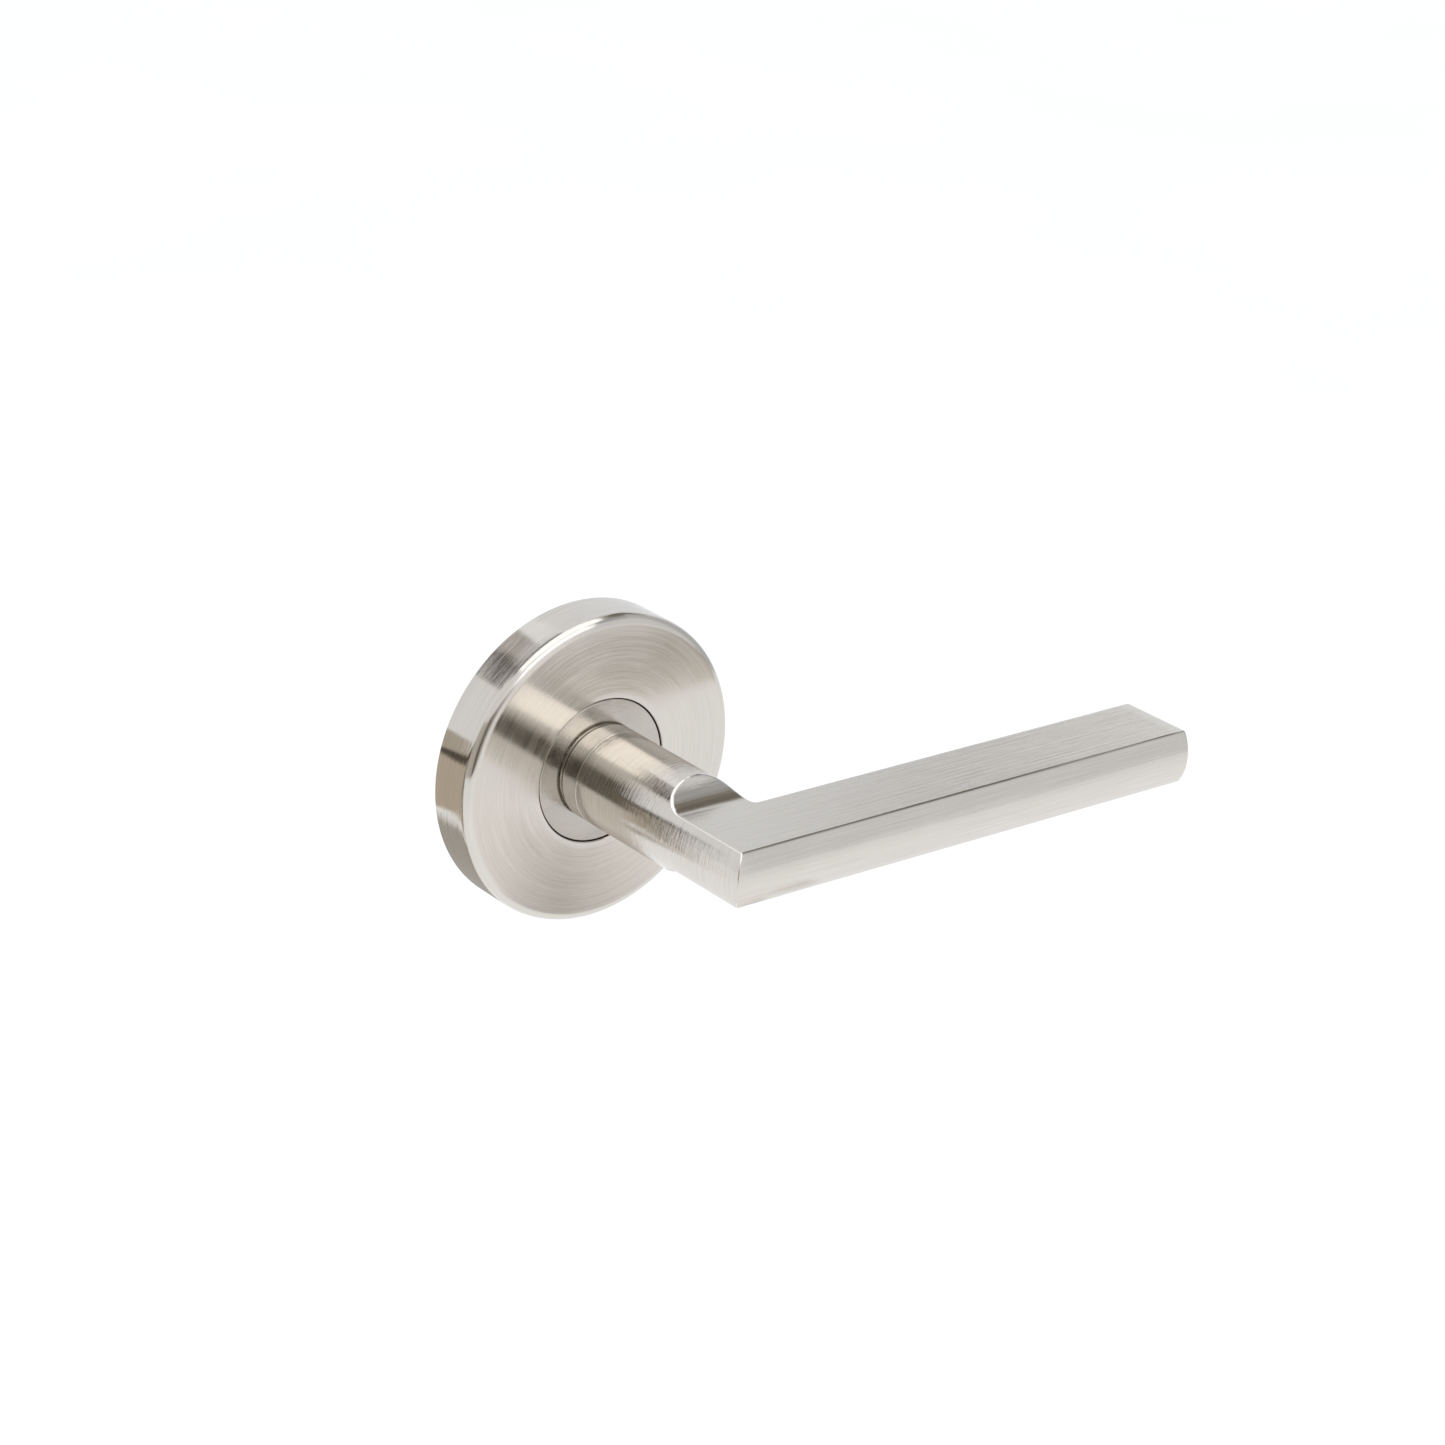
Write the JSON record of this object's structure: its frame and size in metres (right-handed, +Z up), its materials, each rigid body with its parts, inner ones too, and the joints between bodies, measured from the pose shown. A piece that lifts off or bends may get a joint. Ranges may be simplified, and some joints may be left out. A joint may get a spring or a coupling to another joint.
{
  "type": "door lever handle",
  "caption": "Door lever handle on a round sprung rose: straight flat-topped grip mitred to a round scooped neck, with square spindle and bolt posts behind.",
  "frame": {"origin": "on the spindle's axis, in the plane of the door's face that the rose stands on", "axes": "+Z up, -Y out of the door towards the user, +Y into the door along the spindle, +X along the grip from the neck to its tip"},
  "size_m": [0.1423, 0.0899, 0.065],
  "materials": {
    "satin_nickel": "satin nickel plate, brushed round the rose and along the grip",
    "zinc_plated_steel": "bright zinc plate",
    "spring_steel": "drawn wire and spring strip, lightly oiled",
    "black_oxide_steel": "black oxide",
    "black_nylon": "moulded nylon"
  },
  "bodies": {
    "rose": {"rose_cover": "satin_nickel", "mounting_plate": "satin_nickel", "cage_back_plate": "zinc_plated_steel", "cage_screw_1": "zinc_plated_steel", "cage_screw_2": "zinc_plated_steel", "cage_screw_3": "zinc_plated_steel", "front_bush": "satin_nickel", "rear_bush": "black_nylon", "return_spring": "spring_steel", "bolt_post_upper": "zinc_plated_steel", "bolt_post_lower": "zinc_plated_steel", "cover_grub_screw": "black_oxide_steel"},
    "lever": {"lever_handle": "satin_nickel", "neck_ring": "satin_nickel", "lever_hub": "zinc_plated_steel", "driver_cam": "zinc_plated_steel", "rear_washer": "zinc_plated_steel", "circlip": "spring_steel", "spindle": "zinc_plated_steel", "spindle_pin": "spring_steel", "neck_grub_screw": "black_oxide_steel"}
  },
  "joints": [
    {"name": "lever_turn", "type": "hinge", "parent": "rose", "child": "lever", "pos_m": [0, 0, 0], "axis": [0, 1, 0], "range_deg": [-50, 50], "stiffness_Nm_per_rad": 1.1, "springref_deg": -5.16, "deforming": ["return_spring"]}
  ]
}
